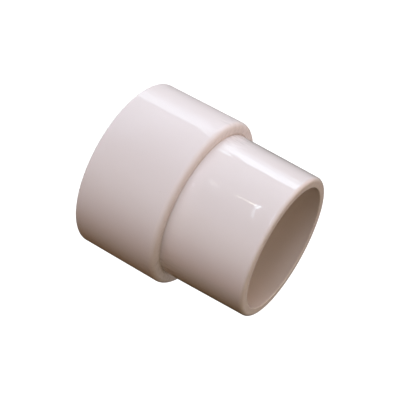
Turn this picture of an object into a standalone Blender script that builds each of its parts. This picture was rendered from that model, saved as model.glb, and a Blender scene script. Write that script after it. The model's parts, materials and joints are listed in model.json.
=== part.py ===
"""Concentric pipe reducer: a 75 mm socket body with a 63 mm socket sleeve cemented in it.

The reducer stands on the large end. +Z runs along the flow axis, from the large end
to the small end, and the origin is the centre of the large end's rim.
"""

import math

import bmesh
import bpy

MM = 0.001

# Driving dimensions, in millimetres unless the name says degrees.

LARGE_PIPE_DIAMETER = 75.0
SMALL_PIPE_DIAMETER = 63.0
LARGE_PIPE_WALL = 3.0
SMALL_PIPE_WALL = 3.0

SOCKET_CLEARANCE = 0.3          # socket mouth over pipe, on the diameter
SOCKET_TAPER = 0.4              # socket mouth over socket bottom, on the diameter

BODY_WALL = 5.55                # beside the large pipe's socket
LEAST_SEAT_WALL = 3.5           # beside the sleeve's seat
SLEEVE_WALL = 4.85
SLEEVE_DRAFT_DEGREES = 1.15

LARGE_SOCKET_DEPTH = 36.5
STOP_RIDGE_THICKNESS = 2.5
SEAT_DEPTH = 6.1
SEAT_LEDGE = 2.8                # least width of ridge under the sleeve's tail
SMALL_SOCKET_DEPTH = 37.5
LEDGE_ABOVE_SHOULDER = 7.1      # where the small pipe stops
FLOW_CONE_LENGTH = 8.0

FITTING_GAP = 0.3               # clear space kept between neighbouring solids
CEMENT_THICKNESS = 0.3
CEMENT_RECESS = 0.6             # cement stops this far below the shoulder face

SHOULDER_EDGE_RADIUS = 2.6
SLEEVE_RIM_RADIUS = 2.0
BODY_HEEL_RADIUS = 0.6
LARGE_LEAD_IN = 1.5
SMALL_LEAD_IN = 0.5
TAIL_CHAMFER = 0.6
EDGE_BREAK = 0.3

SIDES = 96
ARC_STEPS = 5

# Sizes worked out from the driving dimensions.

SEAT_FLOOR = LARGE_SOCKET_DEPTH + STOP_RIDGE_THICKNESS
BODY_LENGTH = SEAT_FLOOR + SEAT_DEPTH
SLEEVE_LEDGE = BODY_LENGTH + LEDGE_ABOVE_SHOULDER
TOTAL_LENGTH = SLEEVE_LEDGE + SMALL_SOCKET_DEPTH

SMALL_SOCKET_MOUTH = (SMALL_PIPE_DIAMETER + SOCKET_CLEARANCE) / 2
SMALL_SOCKET_BOTTOM = SMALL_SOCKET_MOUTH - SOCKET_TAPER / 2
SMALL_BORE = SMALL_PIPE_DIAMETER / 2 - SMALL_PIPE_WALL
SLEEVE_RIM = SMALL_SOCKET_MOUTH + SLEEVE_WALL
SLEEVE_SLOPE = math.tan(math.radians(SLEEVE_DRAFT_DEGREES))
SLEEVE_FOOT = SLEEVE_RIM + (TOTAL_LENGTH - BODY_LENGTH) * SLEEVE_SLOPE

JOINT_GAP = FITTING_GAP + CEMENT_THICKNESS + FITTING_GAP
SEAT_RADIUS = SLEEVE_FOOT + JOINT_GAP
TAIL_END = SEAT_FLOOR + JOINT_GAP

LARGE_SOCKET_MOUTH = (LARGE_PIPE_DIAMETER + SOCKET_CLEARANCE) / 2
LARGE_SOCKET_BOTTOM = LARGE_SOCKET_MOUTH - SOCKET_TAPER / 2
LARGE_BORE = min(LARGE_PIPE_DIAMETER / 2 - LARGE_PIPE_WALL, SLEEVE_FOOT - SEAT_LEDGE)
BODY_RADIUS = max(LARGE_SOCKET_MOUTH + BODY_WALL, SEAT_RADIUS + LEAST_SEAT_WALL)


def clear_scene():
    for thing in list(bpy.data.objects):
        bpy.data.objects.remove(thing, do_unlink=True)


def make_material(name, colour, roughness):
    material = bpy.data.materials.new(name)
    material.use_nodes = True
    shader = material.node_tree.nodes["Principled BSDF"]
    shader.inputs["Base Color"].default_value = (*colour, 1.0)
    shader.inputs["Roughness"].default_value = roughness
    shader.inputs["Metallic"].default_value = 0.0
    material.diffuse_color = (*colour, 1.0)
    return material


def towards(start, end, distance):
    """The point at a distance from start on the straight line to end."""
    span = math.dist(start, end)
    share = distance / span
    return tuple(a + (b - a) * share for a, b in zip(start, end))


def round_corner(before, corner, after, radius):
    """Points of an arc of the given radius that touches both sides of a corner."""
    to_before = math.atan2(before[1] - corner[1], before[0] - corner[0])
    to_after = math.atan2(after[1] - corner[1], after[0] - corner[0])
    opening = abs((to_after - to_before + math.pi) % math.tau - math.pi)
    setback = radius / math.tan(opening / 2)
    start = towards(corner, before, setback)
    end = towards(corner, after, setback)
    middle = ((start[0] + end[0]) / 2, (start[1] + end[1]) / 2)
    centre = towards(corner, middle, radius / math.sin(opening / 2))
    first = math.atan2(start[1] - centre[1], start[0] - centre[0])
    last = math.atan2(end[1] - centre[1], end[0] - centre[0])
    sweep = (last - first + math.pi) % math.tau - math.pi
    points = []
    for step in range(ARC_STEPS + 1):
        angle = first + sweep * step / ARC_STEPS
        points.append((centre[0] + radius * math.cos(angle), centre[1] + radius * math.sin(angle)))
    return points


def chamfer_corner(before, corner, after, size):
    return [towards(corner, before, size), towards(corner, after, size)]


def finish_section(corners):
    """Outline of a turned section from (radius, height, edge kind, edge size) corners."""
    outline = []
    for index, (radius, height, kind, size) in enumerate(corners):
        before = corners[index - 1][:2]
        after = corners[(index + 1) % len(corners)][:2]
        if kind == "round":
            outline += round_corner(before, (radius, height), after, size)
        elif kind == "chamfer":
            outline += chamfer_corner(before, (radius, height), after, size)
        else:
            outline.append((radius, height))
    return outline


def turn(name, corners, material):
    """Spin a closed section round the flow axis into one closed ring."""
    mesh_builder = bmesh.new()
    outline = [
        mesh_builder.verts.new((radius * MM, 0.0, height * MM))
        for radius, height in finish_section(corners)
    ]
    edges = [
        mesh_builder.edges.new((vert, outline[(index + 1) % len(outline)]))
        for index, vert in enumerate(outline)
    ]
    bmesh.ops.spin(
        mesh_builder,
        geom=outline + edges,
        cent=(0.0, 0.0, 0.0),
        axis=(0.0, 0.0, 1.0),
        angle=math.tau,
        steps=SIDES,
        use_merge=True,
    )
    bmesh.ops.recalc_face_normals(mesh_builder, faces=mesh_builder.faces)
    mesh = bpy.data.meshes.new(name)
    mesh_builder.to_mesh(mesh)
    mesh_builder.free()
    mesh.shade_smooth()
    mesh.set_sharp_from_angle(angle=math.radians(25.0))
    mesh.materials.append(material)
    part = bpy.data.objects.new(name, mesh)
    bpy.context.scene.collection.objects.link(part)
    return part


def make_body(material):
    """Collar with the large pipe's socket below and the sleeve's seat above."""
    corners = [
        (BODY_RADIUS, BODY_LENGTH, "round", SHOULDER_EDGE_RADIUS),
        (BODY_RADIUS, 0.0, "round", BODY_HEEL_RADIUS),
        (LARGE_SOCKET_MOUTH, 0.0, "chamfer", LARGE_LEAD_IN),
        (LARGE_SOCKET_BOTTOM, LARGE_SOCKET_DEPTH, "sharp", 0.0),
        (LARGE_BORE, LARGE_SOCKET_DEPTH, "chamfer", EDGE_BREAK),
        (LARGE_BORE, SEAT_FLOOR, "chamfer", EDGE_BREAK),
        (SEAT_RADIUS, SEAT_FLOOR, "sharp", 0.0),
        (SEAT_RADIUS, BODY_LENGTH, "chamfer", EDGE_BREAK),
    ]
    return turn("large_socket_body", corners, material)


def make_sleeve(material):
    """Drafted tube with the small pipe's socket, seated in the body by its tail."""
    corners = [
        (SLEEVE_RIM, TOTAL_LENGTH, "round", SLEEVE_RIM_RADIUS),
        (SLEEVE_FOOT, BODY_LENGTH, "sharp", 0.0),
        (SLEEVE_FOOT, TAIL_END, "chamfer", TAIL_CHAMFER),
        (LARGE_BORE, TAIL_END, "sharp", 0.0),
        (SMALL_BORE, TAIL_END + FLOW_CONE_LENGTH, "sharp", 0.0),
        (SMALL_BORE, SLEEVE_LEDGE, "chamfer", EDGE_BREAK),
        (SMALL_SOCKET_BOTTOM, SLEEVE_LEDGE, "sharp", 0.0),
        (SMALL_SOCKET_MOUTH, TOTAL_LENGTH, "round", SMALL_LEAD_IN),
    ]
    return turn("small_socket_sleeve", corners, material)


def make_cement(material):
    """Thin cup of cement: a wall beside the tail and a foot under its end face."""
    outside = SEAT_RADIUS - FITTING_GAP
    inside = SLEEVE_FOOT + FITTING_GAP
    top = BODY_LENGTH - CEMENT_RECESS
    foot = SEAT_FLOOR + FITTING_GAP
    corners = [
        (outside, top, "sharp", 0.0),
        (outside, foot, "sharp", 0.0),
        (LARGE_BORE + EDGE_BREAK, foot, "sharp", 0.0),
        (LARGE_BORE + EDGE_BREAK, foot + CEMENT_THICKNESS, "sharp", 0.0),
        (inside, foot + CEMENT_THICKNESS, "sharp", 0.0),
        (inside, top, "sharp", 0.0),
    ]
    return turn("cement_layer", corners, material)


def main():
    clear_scene()
    body_plastic = make_material("body_plastic", (0.80, 0.74, 0.72), 0.25)
    sleeve_plastic = make_material("sleeve_plastic", (0.80, 0.74, 0.73), 0.22)
    cured_cement = make_material("cured_cement", (0.55, 0.52, 0.47), 0.45)
    make_body(body_plastic)
    make_sleeve(sleeve_plastic)
    make_cement(cured_cement)


main()
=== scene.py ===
import json
import math

import bpy
from mathutils import Matrix, Vector


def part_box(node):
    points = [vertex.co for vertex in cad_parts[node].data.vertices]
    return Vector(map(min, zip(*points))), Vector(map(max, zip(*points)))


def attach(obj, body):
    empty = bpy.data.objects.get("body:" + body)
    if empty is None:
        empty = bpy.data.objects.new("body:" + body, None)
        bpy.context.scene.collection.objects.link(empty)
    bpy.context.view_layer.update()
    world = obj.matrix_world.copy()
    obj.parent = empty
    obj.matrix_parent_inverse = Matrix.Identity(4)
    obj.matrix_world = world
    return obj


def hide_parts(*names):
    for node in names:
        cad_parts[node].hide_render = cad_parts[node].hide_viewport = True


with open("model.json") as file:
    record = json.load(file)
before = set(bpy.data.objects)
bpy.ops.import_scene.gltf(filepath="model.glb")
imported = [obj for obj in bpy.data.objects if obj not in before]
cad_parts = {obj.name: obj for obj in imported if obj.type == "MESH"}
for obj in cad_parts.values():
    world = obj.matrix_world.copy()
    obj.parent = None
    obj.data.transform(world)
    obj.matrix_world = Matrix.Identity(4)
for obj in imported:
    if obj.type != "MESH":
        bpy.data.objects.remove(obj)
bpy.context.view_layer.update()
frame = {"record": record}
mm = 0.001

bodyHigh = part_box("large_socket_body")[1]
sleeveLow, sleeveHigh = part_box("small_socket_sleeve")
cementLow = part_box("cement_layer")[0]
mountHeight = {mount["name"]: mount["pos_m"][2] for mount in frame["record"]["mounts"]}
shoulderCentre = Vector((0.0, 0.0, bodyHigh.z))


# camera: the flow axis runs down to the right of the view and leans to the viewer
cameraSetup = {
    "azimuth": 60.0,       # degrees round the flow axis
    "elevation": 20.04,    # degrees above the plane of the rims
    "roll": 118.76,        # degrees the camera is turned on its own axis
    "distance": 0.5595,    # metres from the shoulder's plane
    "lens": 105.13,        # millimetres, as the sensor is
    "sensor": 36.0,
    "aimLeft": 0.00278,    # metres the view is aimed left of the shoulder's centre
    "aimUp": 0.00250,      # and above it
}


def directionAt(azimuth, elevation):
    turn, lift = math.radians(azimuth), math.radians(elevation)
    return Vector((math.sin(turn) * math.cos(lift), -math.cos(turn) * math.cos(lift),
                   math.sin(lift)))


def levelAxes(setup):
    # right, up and back of something that stands level and looks at the flow axis
    back = directionAt(setup["azimuth"], setup["elevation"])
    right = directionAt(setup["azimuth"] + 90.0, 0.0)
    return right, back.cross(right), back


def standAt(place, right, up, back):
    return Matrix.Translation(place) @ Matrix((right, up, back)).transposed().to_4x4()


def placeCamera(setup):
    levelRight, levelUp, back = levelAxes(setup)
    roll = math.radians(setup["roll"])
    right = levelRight * math.cos(roll) + levelUp * math.sin(roll)
    up = levelUp * math.cos(roll) - levelRight * math.sin(roll)
    aim = shoulderCentre - right * setup["aimLeft"] + up * setup["aimUp"]
    data = bpy.data.cameras.new("reducerCamera")
    data.lens = setup["lens"]
    data.sensor_width = setup["sensor"]
    camera = bpy.data.objects.new("reducerCamera", data)
    bpy.context.scene.collection.objects.link(camera)
    camera.matrix_world = standAt(aim + back * setup["distance"], right, up, back)
    bpy.context.scene.camera = camera
    print("camera stands", setup["distance"], "m from the shoulder")


placeCamera(cameraSetup)
bpy.context.scene.view_settings.view_transform = "Standard"


# nodes shared by the turning tree and the materials
def addNode(tree, kind, **settings):
    node = tree.nodes.new(kind)
    for name, value in settings.items():
        setattr(node, name, value)
    return node


def joinMath(tree, operation, first, second):
    node = addNode(tree, "ShaderNodeMath", operation=operation)
    for socket, value in zip(node.inputs, (first, second)):
        if isinstance(value, (int, float)):
            socket.default_value = value
        else:
            tree.links.new(value, socket)
    return node.outputs[0]


# turned sections: every piece is one closed outline swept round the flow axis
edgeSupport = 0.12    # millimetres from an arc to the next loop, keeps the shading flat up to it


def pointTowards(start, end, distance):
    share = distance / math.dist(start, end)
    return (start[0] + (end[0] - start[0]) * share, start[1] + (end[1] - start[1]) * share)


def roundedCorner(before, corner, after, radius, steps):
    toBefore = math.atan2(before[1] - corner[1], before[0] - corner[0])
    toAfter = math.atan2(after[1] - corner[1], after[0] - corner[0])
    opening = abs((toAfter - toBefore + math.pi) % math.tau - math.pi)
    setback = radius / math.tan(opening / 2)
    start, end = pointTowards(corner, before, setback), pointTowards(corner, after, setback)
    middle = ((start[0] + end[0]) / 2, (start[1] + end[1]) / 2)
    centre = pointTowards(corner, middle, radius / math.sin(opening / 2))
    first = math.atan2(start[1] - centre[1], start[0] - centre[0])
    last = math.atan2(end[1] - centre[1], end[0] - centre[0])
    sweep = (last - first + math.pi) % math.tau - math.pi
    angles = [first + sweep * step / steps for step in range(steps + 1)]
    return [(centre[0] + radius * math.cos(a), centre[1] + radius * math.sin(a)) for a in angles]


def turnedOutline(corners, turning):
    # corners are (radius, height, edge radius); runs between the arcs are cut into even steps
    arcs = []
    for index, (radius, height, edge) in enumerate(corners):
        before = corners[index - 1][:2]
        after = corners[(index + 1) % len(corners)][:2]
        arcs.append(roundedCorner(before, (radius, height), after, edge, turning["arcSteps"]))
    outline = []
    for index, arc in enumerate(arcs):
        outline += arc
        start, end = arc[-1], arcs[(index + 1) % len(arcs)][0]
        run = math.dist(start, end)
        support = min(edgeSupport, run / 4)
        between = run - 2 * support
        outline.append(pointTowards(start, end, support))
        steps = max(1, math.ceil(between / turning["longestStep"]))
        for step in range(1, steps):
            outline.append(pointTowards(start, end, support + between * step / steps))
        outline.append(pointTowards(end, start, support))
    return outline


def addSocket(tree, name, kind, default=None):
    socket = tree.interface.new_socket(name, in_out="INPUT", socket_type=kind)
    if default is not None:
        socket.default_value = default


def makeTurningTree():
    tree = bpy.data.node_groups.new("turnRoundAxis", "GeometryNodeTree")
    addSocket(tree, "Outline", "NodeSocketGeometry")
    addSocket(tree, "Sides", "NodeSocketInt", 64)
    addSocket(tree, "Sweep Radius", "NodeSocketFloat", 0.01)
    addSocket(tree, "Ripple Depth", "NodeSocketFloat", 0.0)
    addSocket(tree, "Ripple Scale", "NodeSocketFloat", 50.0)
    addSocket(tree, "Seed", "NodeSocketFloat", 0.0)
    addSocket(tree, "Finish", "NodeSocketMaterial")
    tree.interface.new_socket("Ring", in_out="OUTPUT", socket_type="NodeSocketGeometry")
    link = tree.links.new
    given = addNode(tree, "NodeGroupInput").outputs
    result = addNode(tree, "NodeGroupOutput")

    section = addNode(tree, "GeometryNodeMeshToCurve")
    path = addNode(tree, "GeometryNodeCurvePrimitiveCircle")
    sweep = addNode(tree, "GeometryNodeCurveToMesh")
    link(given["Outline"], section.inputs["Mesh"])
    link(given["Sides"], path.inputs["Resolution"])
    link(given["Sweep Radius"], path.inputs["Radius"])
    link(path.outputs["Curve"], sweep.inputs["Curve"])
    link(section.outputs["Curve"], sweep.inputs["Profile Curve"])

    # ripple only ever sinks the surface, so the ring stays inside its stated size
    noise = addNode(tree, "ShaderNodeTexNoise", noise_dimensions="4D")
    noise.inputs["Detail"].default_value = 1.0
    link(given["Seed"], noise.inputs["W"])
    link(given["Ripple Scale"], noise.inputs["Scale"])
    depth = joinMath(tree, "MULTIPLY", noise.outputs["Fac"], given["Ripple Depth"])
    offset = addNode(tree, "ShaderNodeVectorMath", operation="SCALE")
    link(addNode(tree, "GeometryNodeInputNormal").outputs["Normal"], offset.inputs[0])
    link(joinMath(tree, "MULTIPLY", depth, -1.0), offset.inputs["Scale"])
    sink = addNode(tree, "GeometryNodeSetPosition")
    link(sweep.outputs["Mesh"], sink.inputs["Geometry"])
    link(offset.outputs["Vector"], sink.inputs["Offset"])

    smooth = addNode(tree, "GeometryNodeSetShadeSmooth")
    realize = addNode(tree, "GeometryNodeRealizeInstances")
    finish = addNode(tree, "GeometryNodeSetMaterial")
    link(sink.outputs["Geometry"], smooth.inputs["Geometry"])
    link(smooth.outputs["Geometry"], realize.inputs["Geometry"])
    link(realize.outputs["Geometry"], finish.inputs["Geometry"])
    link(given["Finish"], finish.inputs["Material"])
    link(finish.outputs["Geometry"], result.inputs["Ring"])
    return tree


turningTree = makeTurningTree()


def turnPiece(name, corners, material, turning):
    outline = turnedOutline(corners, turning)
    sweepRadius = sum(radius for radius, height in outline) / len(outline) * mm
    mesh = bpy.data.meshes.new(name + "Outline")
    # the circle path carries the section's y downwards, so heights go in negative
    points = [(radius * mm - sweepRadius, -height * mm, 0.0) for radius, height in outline]
    mesh.from_pydata(points, [(i, (i + 1) % len(points)) for i in range(len(points))], [])
    blank = bpy.data.objects.new(name + "Blank", mesh)
    bpy.context.scene.collection.objects.link(blank)
    modifier = blank.modifiers.new("turning", "NODES")
    modifier.node_group = turningTree
    given = {"Sides": turning["sides"], "Sweep Radius": sweepRadius,
             "Ripple Depth": turning["rippleDepth"] * mm, "Ripple Scale": turning["rippleScale"],
             "Seed": turning["seed"], "Finish": material}
    for item in turningTree.interface.items_tree:
        if item.item_type == "SOCKET" and item.name in given:
            modifier[item.identifier] = given[item.name]
    ready = blank.evaluated_get(bpy.context.evaluated_depsgraph_get())
    made = bpy.data.meshes.new_from_object(ready)
    made.name = name
    bpy.data.objects.remove(blank)
    piece = bpy.data.objects.new(name, made)
    bpy.context.scene.collection.objects.link(piece)
    print(name, "turned with", len(made.polygons), "faces")
    return piece


# patterns of the moulded surface, on the pieces' own Object coordinates, with scales to the
# metre; a stretch below one draws a pattern out along the flow axis, a fade makes it a mask
skinPatterns = {
    "cloud": {"stretch": 0.6, "scale": 45.0, "detail": 3.0, "seedStep": 0.0,
              "fade": (0.35, 0.65)},
    "speck": {"stretch": 1.0, "scale": 900.0, "detail": 1.0, "seedStep": 1.0,
              "fade": (0.80, 0.86)},
    "smudge": {"stretch": 1.0, "scale": 70.0, "detail": 4.0, "seedStep": 2.0,
               "fade": (0.40, 0.70)},
    "grain": {"stretch": 0.04, "scale": 2200.0, "detail": 2.0, "seedStep": 3.0},
    "flow": {"stretch": 0.02, "scale": 420.0, "detail": 1.0, "seedStep": 4.0},
    "peel": {"stretch": 1.0, "scale": 420.0, "detail": 2.0, "seedStep": 5.0},
    "scratch": {"stretch": 12.0, "scale": 160.0, "detail": 3.0, "seedStep": 6.0,
                "fade": (0.66, 0.70)},
    "ripple": {"stretch": 0.6, "scale": 330.0, "detail": 1.0, "seedStep": 7.0},
    "scuff": {"stretch": 1.0, "scale": 520.0, "detail": 3.0, "seedStep": 8.0,
              "fade": (0.48, 0.62)},
}


def fadeIn(tree, value, low, high, top=1.0):
    node = addNode(tree, "ShaderNodeMapRange")
    node.inputs["From Min"].default_value = low
    node.inputs["From Max"].default_value = high
    node.inputs["To Max"].default_value = top
    tree.links.new(value, node.inputs["Value"])
    return node.outputs["Result"]


def addPattern(tree, position, name, seed, top=1.0):
    pattern = skinPatterns[name]
    mapping = addNode(tree, "ShaderNodeMapping")
    mapping.inputs["Scale"].default_value = (1.0, 1.0, pattern["stretch"])
    noise = addNode(tree, "ShaderNodeTexNoise", noise_dimensions="4D")
    noise.inputs["W"].default_value = seed + pattern["seedStep"]
    noise.inputs["Scale"].default_value = pattern["scale"]
    noise.inputs["Detail"].default_value = pattern["detail"]
    tree.links.new(position, mapping.inputs["Vector"])
    tree.links.new(mapping.outputs["Vector"], noise.inputs["Vector"])
    if "fade" not in pattern:
        return noise.outputs["Fac"]
    return fadeIn(tree, noise.outputs["Fac"], *pattern["fade"], top)


def mixColours(tree, amount, first, second):
    node = addNode(tree, "ShaderNodeMix", data_type="RGBA")
    tree.links.new(amount, node.inputs["Factor"])
    for socket, value in zip(node.inputs[6:8], (first, second)):    # the two colour sockets
        if isinstance(value, tuple):
            socket.default_value = (*value, 1.0)
        else:
            tree.links.new(value, socket)
    return node.outputs[2]


def addBump(tree, height, distance, before=None):
    node = addNode(tree, "ShaderNodeBump")
    node.inputs["Strength"].default_value = 1.0
    node.inputs["Distance"].default_value = distance * mm
    tree.links.new(height, node.inputs["Height"])
    if before is not None:
        tree.links.new(before, node.inputs["Normal"])
    return node.outputs["Normal"]


def addWear(tree, position, height, look):
    # paler scuffs along the arris of the open end
    atEnd = fadeIn(tree, height, (look["wornAt"] - look["wornReach"]) * mm,
                   look["wornAt"] * mm, look["wornDepth"])
    return joinMath(tree, "MULTIPLY", atEnd, addPattern(tree, position, "scuff", look["seed"]))


def addColourAndPaintedShade(tree, position, worn, look):
    # cloudy pigment, then rare dark specks of regrind
    cloud = addPattern(tree, position, "cloud", look["seed"])
    surfaceColour = mixColours(tree, cloud, look["colour"], look["colourShift"])
    speck = addPattern(tree, position, "speck", look["seed"], look["speckDepth"])
    surfaceColour = mixColours(tree, speck, surfaceColour, look["speckColour"])
    # painted shade: surfaces inside the given radius, the socket and bore walls, are painted
    # duller and a little browner
    flat = addNode(tree, "ShaderNodeVectorMath", operation="MULTIPLY")
    flat.inputs[1].default_value = (1.0, 1.0, 0.0)
    tree.links.new(position, flat.inputs[0])
    reach = addNode(tree, "ShaderNodeVectorMath", operation="LENGTH")
    tree.links.new(flat.outputs["Vector"], reach.inputs[0])
    paintedShade = fadeIn(tree, reach.outputs["Value"], (look["paintedShadeRadius"] + look["paintedShadeFade"]) * mm,
                   look["paintedShadeRadius"] * mm)
    surfaceColour = mixColours(tree, paintedShade, surfaceColour, look["paintedShadeColour"])
    return mixColours(tree, worn, surfaceColour, look["wornColour"])


def addRoughness(tree, position, worn, look):
    # handling smudges over a fine satin grain drawn along the axis
    smudge = addPattern(tree, position, "smudge", look["seed"])
    grain = addPattern(tree, position, "grain", look["seed"])
    roughness = joinMath(tree, "MULTIPLY", smudge, look["smudgeRoughness"])
    for mask, amount in ((grain, look["grainRoughness"]), (worn, look["smudgeRoughness"])):
        roughness = joinMath(tree, "ADD", roughness, joinMath(tree, "MULTIPLY", mask, amount))
    return joinMath(tree, "ADD", roughness, look["roughness"])


def addRelief(tree, position, height, look):
    # drawn flow lines, then the mould's parting line, a hair of flash up both sides
    flow = addPattern(tree, position, "flow", look["seed"])
    moulded = addBump(tree, flow, look["flowRelief"])
    across = addNode(tree, "ShaderNodeVectorMath", operation="DOT_PRODUCT")
    seamSide = math.radians(look["seamAzimuth"] + 90.0)
    across.inputs[1].default_value = (math.cos(seamSide), math.sin(seamSide), 0.0)
    tree.links.new(position, across.inputs[0])
    offSeam = joinMath(tree, "ABSOLUTE", across.outputs["Value"], 0.0)
    seam = fadeIn(tree, offSeam, look["seamWidth"] * mm, 0.0)
    moulded = addBump(tree, seam, look["seamRelief"], moulded)
    # a faint orange peel and handling scratches
    peel = addPattern(tree, position, "peel", look["seed"])
    scratch = addPattern(tree, position, "scratch", look["seed"])
    normal = addBump(tree, peel, look["peelRelief"], moulded)
    normal = addBump(tree, scratch, look["scratchRelief"], normal)
    # short ripples in the glossy skin, which the melt leaves round the change of diameter
    near = fadeIn(tree, height, look["rippleEnd"] * mm, look["rippleStart"] * mm)
    ripple = joinMath(tree, "MULTIPLY", addPattern(tree, position, "ripple", look["seed"]), near)
    return normal, addBump(tree, ripple, look["rippleRelief"], moulded)


def makePlastic(name, look):
    material = bpy.data.materials.new(name)
    material.use_nodes = True
    tree = material.node_tree
    shader = tree.nodes["Principled BSDF"]
    position = addNode(tree, "ShaderNodeTexCoord").outputs["Object"]
    split = addNode(tree, "ShaderNodeSeparateXYZ")
    tree.links.new(position, split.inputs[0])
    height = split.outputs["Z"]
    worn = addWear(tree, position, height, look)
    normal, skin = addRelief(tree, position, height, look)
    tree.links.new(addColourAndPaintedShade(tree, position, worn, look), shader.inputs["Base Color"])
    tree.links.new(addRoughness(tree, position, worn, look), shader.inputs["Roughness"])
    tree.links.new(normal, shader.inputs["Normal"])
    shader.inputs["IOR"].default_value = look["ior"]
    shader.inputs["Specular IOR Level"].default_value = look["underGloss"]
    # the moulded skin is glossier than the pigment under it
    tree.links.new(skin, shader.inputs["Coat Normal"])
    shader.inputs["Coat Weight"].default_value = look["skinGloss"]
    shader.inputs["Coat Roughness"].default_value = look["skinRoughness"]
    shader.inputs["Coat IOR"].default_value = look["ior"]
    print(name, "mixed with", len(tree.nodes), "nodes")
    return material


# wide collar with the large pipe's socket; lengths in millimetres, azimuth in degrees, and a
# worn reach that is negative where the worn end faces down
collarSetup = {
    "socketMouth": 37.65, "socketBottom": 37.45, "ridgeBore": 34.5, "ridgeThickness": 2.5,
    "seat": 38.12, "shoulderEdge": 2.6, "heelEdge": 0.6, "leadIn": 1.5, "edgeBreak": 0.15,
    "cornerFillet": 0.25,
    "turning": {"sides": 256, "arcSteps": 8, "longestStep": 1.5,
                "rippleDepth": 0.03, "rippleScale": 70.0, "seed": 3.0},
    "look": {
        "seed": 2.0, "colour": (0.80, 0.745, 0.755), "colourShift": (0.815, 0.765, 0.78),
        "speckColour": (0.30, 0.24, 0.20), "speckDepth": 0.5,
        # painted shade inside the sockets: surfaces within this radius take a darker, browner
        # colour
        "paintedShadeColour": (0.745, 0.67, 0.635), "paintedShadeRadius": 37.9, "paintedShadeFade": 0.3,
        "wornColour": (0.86, 0.83, 0.82), "wornAt": 0.0, "wornReach": -1.2, "wornDepth": 0.6,
        "roughness": 0.26, "smudgeRoughness": 0.10, "grainRoughness": 0.08,
        "flowRelief": 0.004, "peelRelief": 0.003, "scratchRelief": 0.0004,
        "seamAzimuth": 160.0, "seamWidth": 0.10, "seamRelief": 0.02,
        "rippleStart": 44.0, "rippleEnd": 36.0, "rippleRelief": 0.85,
        "skinGloss": 0.46, "skinRoughness": 0.02, "underGloss": 0.04, "ior": 1.5,
    },
}


def makeCollar(s):
    outside, shoulder = bodyHigh.x / mm, bodyHigh.z / mm
    stop = mountHeight["large_pipe_stop"] / mm
    seatFloor = stop + s["ridgeThickness"]
    corners = [
        (outside, shoulder, s["shoulderEdge"]),
        (outside, 0.0, s["heelEdge"]),
        (s["socketMouth"] + s["leadIn"], 0.0, s["edgeBreak"]),
        (s["socketMouth"], s["leadIn"], s["edgeBreak"]),
        (s["socketBottom"], stop, s["cornerFillet"]),
        (s["ridgeBore"], stop, s["edgeBreak"]),
        (s["ridgeBore"], seatFloor, s["edgeBreak"]),
        (s["seat"], seatFloor, s["edgeBreak"]),
        (s["seat"], shoulder, s["edgeBreak"]),
    ]
    collarPlastic = makePlastic("collarPlastic", s["look"])
    return turnPiece("wideCollar", corners, collarPlastic, s["turning"])


# narrow sleeve with the small pipe's socket
sleeveSetup = {
    "rim": 36.5, "socketMouth": 31.65, "socketBottom": 31.45, "bore": 28.5,
    "tailMouth": 34.5, "coneLength": 8.0, "rimEdge": 2.0, "boreEdge": 0.5, "tailEdge": 0.5,
    "edgeBreak": 0.15, "ledgeFillet": 0.25,
    "turning": {"sides": 256, "arcSteps": 8, "longestStep": 1.5,
                "rippleDepth": 0.008, "rippleScale": 80.0, "seed": 8.0},
    # the sleeve's painted bore shade starts just inside its socket's radius
    "look": dict(collarSetup["look"], seed=12.0, colour=(0.80, 0.75, 0.76), skinGloss=1.0,
                 rippleStart=46.0, rippleEnd=60.0, paintedShadeRadius=31.7, wornAt=89.7, wornReach=1.2),
}


def makeSleeve(s):
    foot, top, tail = sleeveHigh.x / mm, sleeveHigh.z / mm, sleeveLow.z / mm
    shoulder, ledge = bodyHigh.z / mm, mountHeight["small_pipe_stop"] / mm
    corners = [
        (s["rim"], top, s["rimEdge"]),
        (foot, shoulder, s["edgeBreak"]),
        (foot, tail, s["tailEdge"]),
        (s["tailMouth"], tail, s["edgeBreak"]),
        (s["bore"], tail + s["coneLength"], s["edgeBreak"]),
        (s["bore"], ledge, s["edgeBreak"]),
        (s["socketBottom"], ledge, s["ledgeFillet"]),
        (s["socketMouth"], top, s["boreEdge"]),
    ]
    sleevePlastic = makePlastic("sleevePlastic", s["look"])
    return turnPiece("narrowSleeve", corners, sleevePlastic, s["turning"])


# cured cement that fills the seat and shows as a low bead round the sleeve's foot
beadSetup = {
    "gap": 0.02, "belowShoulder": 0.05, "dip": 0.07, "dipEdge": 0.2, "thickness": 0.3,
    "tailClearance": 0.3, "edge": 0.05,
    "turning": {"sides": 256, "arcSteps": 3, "longestStep": 0.6,
                "rippleDepth": 0.05, "rippleScale": 400.0, "seed": 14.0},
    # the bead carries no painted bore shade
    "look": dict(collarSetup["look"], seed=21.0, colour=(0.74, 0.68, 0.67),
                 colourShift=(0.77, 0.71, 0.71), paintedShadeRadius=0.0, roughness=0.35,
                 skinGloss=0.3, skinRoughness=0.2, peelRelief=0.02),
}


def makeBead(s):
    foot, lowest = sleeveHigh.x / mm, cementLow.z / mm
    outside, inside = collarSetup["seat"] - s["gap"], foot + s["gap"]
    top = bodyHigh.z / mm - s["belowShoulder"]
    tail, tailMouth = lowest + s["thickness"], sleeveSetup["tailMouth"] + s["tailClearance"]
    corners = [
        (outside, top, s["edge"]),
        (outside, lowest, s["edge"]),
        (tailMouth, lowest, s["edge"]),
        (tailMouth, tail, s["edge"]),
        (inside, tail, s["edge"]),
        (inside, top, s["edge"]),
        ((inside + outside) / 2, top - s["dip"], s["dipEdge"]),
    ]
    beadCement = makePlastic("beadCement", s["look"])
    return turnPiece("cementBead", corners, beadCement, s["turning"])


def replaceNode(piece, node):
    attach(piece, "root")
    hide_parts(node)
    print(piece.name, "stands in for", node)


replaceNode(makeCollar(collarSetup), "large_socket_body")
replaceNode(makeSleeve(sleeveSetup), "small_socket_sleeve")
replaceNode(makeBead(beadSetup), "cement_layer")


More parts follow.
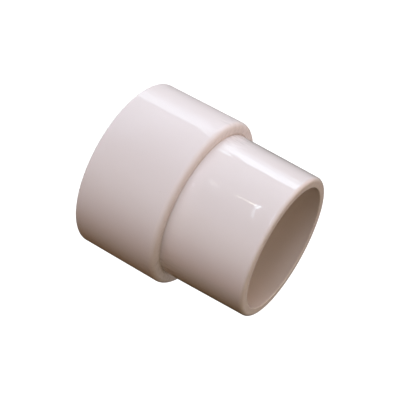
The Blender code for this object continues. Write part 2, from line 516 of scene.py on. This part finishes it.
# glowing white floor just under the collar's rim; it lights nothing and shows in no gloss
floorSetup = {"size": 6.0, "drop": 0.0002, "glow": 1.2}


def makeFloor(setup):
    bpy.ops.mesh.primitive_plane_add(size=setup["size"], location=(0, 0, -setup["drop"]))
    floor = bpy.context.object
    floor.name = "studioFloor"
    material = bpy.data.materials.new("floorWhite")
    material.use_nodes = True
    tree = material.node_tree
    tree.nodes.clear()
    out = addNode(tree, "ShaderNodeOutputMaterial")
    glow = addNode(tree, "ShaderNodeEmission")
    glow.inputs["Strength"].default_value = setup["glow"]
    tree.links.new(glow.outputs[0], out.inputs[0])
    floor.data.materials.append(material)
    floor.visible_diffuse = False
    floor.visible_glossy = False
    floor.visible_shadow = False
    floor.visible_transmission = False


makeFloor(floorSetup)


# studio lights: each stands at its azimuth and elevation, in degrees, and looks at the
# shoulder's centre; sizes in metres, power in watts; the gloss shows those with a highlight
pane = {"elevation": -15.0, "distance": 1.0, "height": 1.0,
        "colour": (0.72, 0.90, 1.00), "highlight": True}
studioLights = {
    "frontSoftbox": {"azimuth": 40.0, "elevation": -14.0, "distance": 1.2,
                     "width": 1.2, "height": 1.2,
                     "colour": (0.96, 0.96, 1.00), "power": 9.5, "highlight": False},
    "rearSoftbox": {"azimuth": -60.0, "elevation": -15.0, "distance": 1.2,
                    "width": 1.2, "height": 1.2,
                    "colour": (1.00, 0.96, 0.96), "power": 7.55, "highlight": False},
    "sideSoftbox": {"azimuth": -30.0, "elevation": 35.0, "distance": 1.2,
                    "width": 1.0, "height": 1.0,
                    "colour": (1.00, 0.84, 0.52), "power": 1.1, "highlight": False},
    "upperSoftbox": {"azimuth": 0.0, "elevation": 55.0, "distance": 1.0,
                     "width": 0.6, "height": 0.6,
                     "colour": (1.00, 0.81, 0.73), "power": 1.25, "highlight": False},
    "overhead": {"azimuth": 60.0, "elevation": 65.0, "distance": 1.0,
                 "width": 0.8, "height": 0.8,
                 "colour": (1.00, 0.78, 0.54), "power": 2.55, "highlight": False},
    "windowFill": {"azimuth": 30.0, "elevation": 8.0, "distance": 1.0,
                   "width": 0.5, "height": 0.6,
                   "colour": (0.72, 0.80, 1.00), "power": 0.85, "highlight": False},
    "backSoftbox": {"azimuth": 240.0, "elevation": 8.0, "distance": 1.5,
                    "width": 0.9, "height": 1.1,
                    "colour": (1.00, 0.96, 0.96), "power": 14.0, "highlight": False},
    "warmPanel": {"azimuth": 95.0, "elevation": -20.0, "distance": 1.0,
                  "width": 0.9, "height": 0.9,
                  "colour": (1.00, 0.70, 0.33), "power": 0.7, "highlight": True},
    "warmFloor": {"azimuth": 140.0, "elevation": -20.0, "distance": 1.0,
                  "width": 0.9, "height": 0.9,
                  "colour": (1.00, 0.20, 0.05), "power": 0.55, "highlight": True},
    "rearPanel": {"azimuth": -60.0, "elevation": 35.0, "distance": 1.0,
                  "width": 0.9, "height": 0.7,
                  "colour": (1.00, 0.60, 0.50), "power": 1.6, "highlight": True},
    "farPane": dict(pane, azimuth=-46.3, width=0.118, power=0.54),
    "middlePane": dict(pane, azimuth=-36.6, width=0.165, power=1.75),
    "nearPane": dict(pane, azimuth=-29.8, width=0.07, power=0.88),
    "tallWindow": {"azimuth": 33.0, "elevation": 0.5, "distance": 1.0,
                   "width": 0.34, "height": 0.31,
                   "colour": (0.79, 0.83, 1.00), "power": 1.45, "highlight": True},
    "lowWindow": {"azimuth": 34.0, "elevation": -12.84, "distance": 1.0,
                  "width": 0.36, "height": 0.003,
                  "colour": (0.75, 0.92, 1.00), "power": 0.015, "highlight": True},
    "lampShade": {"azimuth": 26.5, "elevation": -12.84, "distance": 1.0,
                  "width": 0.08, "height": 0.007,
                  "colour": (0.80, 0.92, 1.00), "power": 0.009, "highlight": True},
    "lampTube": {"azimuth": 26.6, "elevation": -13.75, "distance": 1.0,
                 "width": 0.010, "height": 0.026,
                 "colour": (1.00, 0.97, 0.80), "power": 0.013, "highlight": True},
}


def placeLight(name, setup):
    data = bpy.data.lights.new(name, "AREA")
    data.shape = "RECTANGLE"
    data.size, data.size_y = setup["width"], setup["height"]
    data.color, data.energy = setup["colour"], setup["power"]
    lamp = bpy.data.objects.new(name, data)
    right, up, back = levelAxes(setup)
    lamp.matrix_world = standAt(shoulderCentre + back * setup["distance"], right, up, back)
    lamp.visible_camera = False
    lamp.visible_glossy = setup["highlight"]
    bpy.context.scene.collection.objects.link(lamp)


for lightName, lightSetup in studioLights.items():
    placeLight(lightName, lightSetup)
print("studio lit with", len(studioLights), "lights")


# the backdrop is white to the camera and a dim even room to everything else
roomSetup = {"colour": (0.034, 0.022, 0.006), "backdrop": 1.05}


def makeRoom(setup):
    world = bpy.data.worlds.new("studio")
    bpy.context.scene.world = world
    world.use_nodes = True
    tree = world.node_tree
    room = tree.nodes["Background"]
    room.inputs["Color"].default_value = (*setup["colour"], 1.0)
    backdrop = addNode(tree, "ShaderNodeBackground")
    backdrop.inputs["Strength"].default_value = setup["backdrop"]
    backdrop.inputs["Color"].default_value = (1.0, 1.0, 1.0, 1.0)
    choose = addNode(tree, "ShaderNodeMixShader")
    ray = addNode(tree, "ShaderNodeLightPath")
    tree.links.new(ray.outputs["Is Camera Ray"], choose.inputs[0])
    tree.links.new(room.outputs[0], choose.inputs[1])
    tree.links.new(backdrop.outputs[0], choose.inputs[2])
    tree.links.new(choose.outputs[0], tree.nodes["World Output"].inputs["Surface"])


makeRoom(roomSetup)
print("floor and backdrop set")
